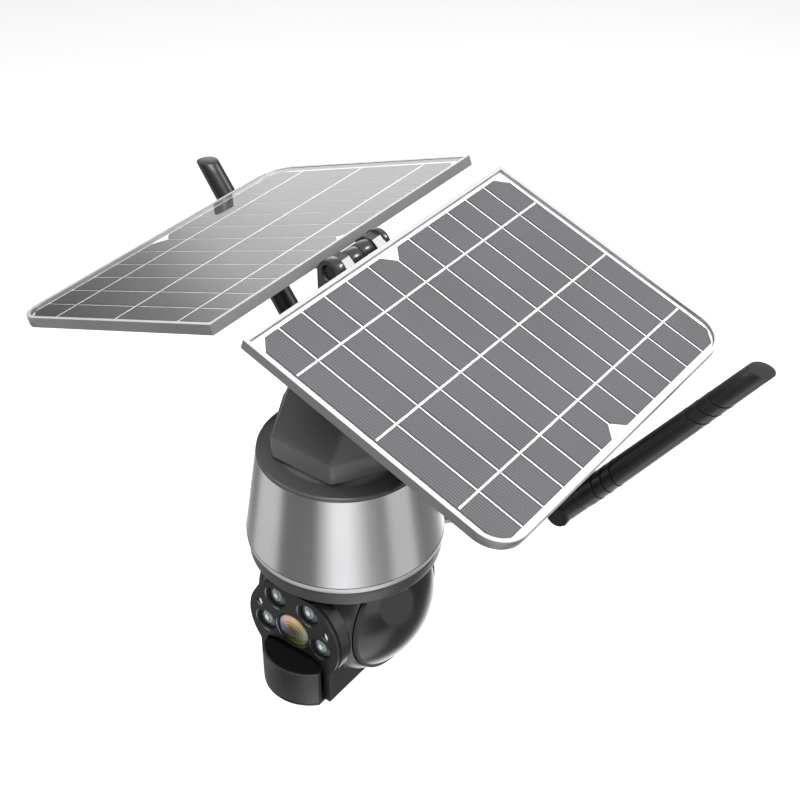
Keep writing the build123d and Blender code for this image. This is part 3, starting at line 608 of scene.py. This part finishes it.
LENS_STEPS = ((0.05, 0.3), (1.5, 0.45), (2.8, 0.9), (2.9, 1.2), (4.2, 1.6), (4.3, 1.9), (5.5, 2.3),
              (5.6, 2.5), (6.5, 2.6), (6.8, 2.8), (6.8, 4.4), (0.05, 4.4))
stepped = add_piece("stepped_lamp_lenses",
                    merged([turned(scaled(LENS_STEPS), on_face(a, b), INTO_HEAD, segments=48)
                            for a, b in LAMP_SPOTS]),
                    "lamp_face", "camera_head", smooth=25.0)
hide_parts("lamp_lenses")

# Painted highlights: bright silver crescents on the rims round the lamps, the sensors and the main lens,
# standing in for the light the rim edges catch
LAMP_RIM_R, SENSOR_RIM_R, LENS_RIM_R = 8.35, 3.0, 12.9
glints = [arc_bar(on_face(a, b), LAMP_RIM_R, 0.75, start, end)
          for a, b in LAMP_SPOTS for start, end in ((150, 205), (250, 285))]
glints += [arc_bar(on_face(a, b), SENSOR_RIM_R, 0.55, 200, 300, front=-0.10) for a, b in SENSOR_SPOTS]
glints += [arc_bar(on_face(0, 0), LENS_RIM_R, width, start, end)
           for width, start, end in ((0.8, 165, 225), (0.7, 255, 285))]
add_piece("face_rim_painted_highlights", merged(glints), "lamp_silver", "camera_head", smooth=20.0)

SENSOR_BAR_LENGTH, SENSOR_BAR_WIDTH = 4.6, 1.3
SENSOR_BAR_LEAN = math.radians(-18.0)
SENSOR_BAR_OUTLINE = ((0.5, 0.0), (0.35, 0.42), (0.0, 0.5), (-0.35, 0.42), (-0.5, 0.0), (-0.35, -0.42),
                (0.0, -0.5), (0.35, -0.42))
SENSOR_BAR_DEPTHS = (0.25, 0.7)


def slanted_bar(centre):
    """A small leaning white bar behind a sensor window."""
    along = Vector((math.sin(SENSOR_BAR_LEAN), 0.0, math.cos(SENSOR_BAR_LEAN)))
    aside = Vector((math.cos(SENSOR_BAR_LEAN), 0.0, -math.sin(SENSOR_BAR_LEAN)))
    return skinned([[centre + (aside * x * SENSOR_BAR_WIDTH + along * y * SENSOR_BAR_LENGTH) * MM + INTO_HEAD * d * MM
                     for x, y in SENSOR_BAR_OUTLINE] for d in SENSOR_BAR_DEPTHS], False)


add_piece("sensor_white_bars", merged([slanted_bar(on_face(a, b)) for a, b in SENSOR_SPOTS]),
          "bright_mark", "camera_head", smooth=30.0)

# A dark line where the silver shell meets the trim ring
SEAM_PROFILE = ((-0.2, -0.25), (0.07, -0.2), (0.07, 0.2), (-0.2, 0.25))
shell_low, shell_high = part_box("body_shell")
shell_foot = Vector((0.0, (shell_low.y + shell_high.y) / 2, shell_low.z))
shell_r = (shell_high.x - shell_low.x) / 2
seam = turned([(shell_r + r * MM, a * MM) for r, a in SEAM_PROFILE], shell_foot, Vector((0.0, 0.0, 1.0)),
              segments=160)
add_piece("shell_seam_seal", seam, "lamp_black", "mount_body", smooth=30.0)
lens_ring = turned(scaled(((11.35, 0.35), (12.5, -0.15), (12.55, 0.3), (11.4, 0.9))), on_face(0, 0), INTO_HEAD)
add_piece("lens_ring", lens_ring, "lamp_black", "camera_head", smooth=30.0)

# ---------------------------------------------------------------- studio and camera
FLOOR_HALF = 30.0
FLOOR_DROP = 0.45
studio_floor = bmesh.new()
bmesh.ops.create_grid(studio_floor, x_segments=1, y_segments=1, size=FLOOR_HALF)
floor_mesh = bpy.data.meshes.new("studio_floor")
studio_floor.to_mesh(floor_mesh)
studio_floor.free()
floor = bpy.data.objects.new("studio_floor", floor_mesh)
floor.location = (0.0, 0.0, cad_low.z - FLOOR_DROP)
scene.collection.objects.link(floor)
pale = Look("studio_floor")
pale.set(Roughness=0.9, Emission_Color=(*WHITE, 1.0), Emission_Strength=0.35)
pale.colour(pale.ramp(pale.noise(2.0), (0.3, grey(0.93)), (0.7, grey(0.95))))
floor.data.materials.append(pale.material)
floor.visible_glossy = False
floor.visible_diffuse = False


def soft_light(name, azimuth, elevation, distance, size, power):
    """A rectangular soft light aimed at the object's middle; azimuth 0 is in front of the camera body."""
    data = bpy.data.lights.new(name, "AREA")
    data.shape = "RECTANGLE"
    data.size, data.size_y = size
    data.energy = power
    light = bpy.data.objects.new(name, data)
    a, e = math.radians(azimuth), math.radians(elevation)
    back = Vector((math.sin(a) * math.cos(e), -math.cos(a) * math.cos(e), math.sin(e)))
    light.location = middle + back * distance
    light.rotation_mode = "QUATERNION"
    light.rotation_quaternion = (-back).to_track_quat("-Z", "Y")
    scene.collection.objects.link(light)


soft_light("top_softbox", 42.0, 60.0, 2.2, (1.3, 1.3), 78.0)
soft_light("left_softbox", -60.0, 45.0, 2.2, (1.0, 1.2), 12.0)
soft_light("rim_softbox", 141.0, 34.0, 2.0, (0.5, 0.5), 14.0)

# The room: white for the camera, and for the object upright bands of light and shade.
# The bands were placed so that the cone, the head and the left panel mirror them as in the photograph.
world = bpy.data.worlds.new("studio")
scene.world = world
room = Tree(world)
east, north, above_floor = room.parts(room.add("ShaderNodeTexCoord").outputs["Generated"])
bearing = room.math("ARCTAN2", east, room.math("MULTIPLY", north, -1.0))
round_room = room.math("ADD", room.math("DIVIDE", bearing, 2 * math.pi), 0.5)


def room_bands(*stops):
    """Grey levels round the room; each stop is (azimuth in degrees, level)."""
    return room.ramp(round_room, *((degrees / 360 + 0.5, grey(level)) for degrees, level in stops))


def room_blend(low_z, high_z, below, above):
    """One colour below a height of the view direction and another above it."""
    reach = room.add("ShaderNodeMapRange", From_Min=low_z, From_Max=high_z)
    room.link(above_floor, reach.inputs["Value"])
    return room.mix(reach.outputs[0], below, above)


low_bands = room_bands((-180, 0.30), (-163, 0.30), (-92, 0.25), (-80, 0.95), (-46, 0.95), (-37, 0.12),
                       (4, 0.12), (27, 1.65), (43, 1.65), (66, 0.50), (84, 0.25), (94, 0.95),
                       (120, 0.95), (128, 0.25), (180, 0.30))
high_bands = room_bands((-180, 0.3), (-166, 0.4), (-152, 2.2), (-140, 2.0), (-131, 1.75), (-128, 1.35),
                        (-125, 0.45), (-121, 0.04), (-112, 0.05), (-100, 0.3), (40, 0.3), (62, 1.9),
                        (112, 1.9), (122, 0.3), (180, 0.3))
floor_bands = room_bands((-180, 1.8), (-158, 2.2), (-140, 1.2), (-105, 0.40), (0, 0.40), (35, 1.3),
                         (60, 1.9), (88, 1.6), (102, 0.30), (150, 0.30), (171, 1.2), (180, 1.8))
floor_glow = room_blend(-0.62, -0.55, floor_bands, low_bands)
sky = room_blend(0.22, 0.50, high_bands, grey(0.6))
DIFFUSE_CUT = 0.65
bands_light = room.add("ShaderNodeBackground")
room.link(room_blend(-0.13, -0.05, floor_glow, sky), bands_light.inputs["Color"])
plain_light = room.add("ShaderNodeBackground", Strength=1.0, Color=(*WHITE, 1.0))
seen = room.add("ShaderNodeLightPath")
cut = room.math("MULTIPLY", seen.outputs["Is Diffuse Ray"], DIFFUSE_CUT)
room.link(room.math("SUBTRACT", 1.0, cut), bands_light.inputs["Strength"])
either = room.add("ShaderNodeMixShader")
for source, socket in zip((seen.outputs["Is Camera Ray"], bands_light.outputs[0], plain_light.outputs[0]),
                          either.inputs):
    room.link(source, socket)
room.link(either.outputs[0], room.add("ShaderNodeOutputWorld").inputs["Surface"])

scene.view_settings.view_transform = "Standard"

CAMERA_AT = Vector((0.42878, -0.66513, 0.56686))
CAMERA_LOOKS = Vector((-0.48073, 0.64420, -0.59489))
camera_data = bpy.data.cameras.new("camera")
camera_data.lens = 67.0
camera_data.sensor_width = 36.0
camera = bpy.data.objects.new("camera", camera_data)
camera.location = CAMERA_AT
camera.rotation_mode = "QUATERNION"
camera.rotation_quaternion = CAMERA_LOOKS.to_track_quat("-Z", "Y")
scene.collection.objects.link(camera)
scene.camera = camera
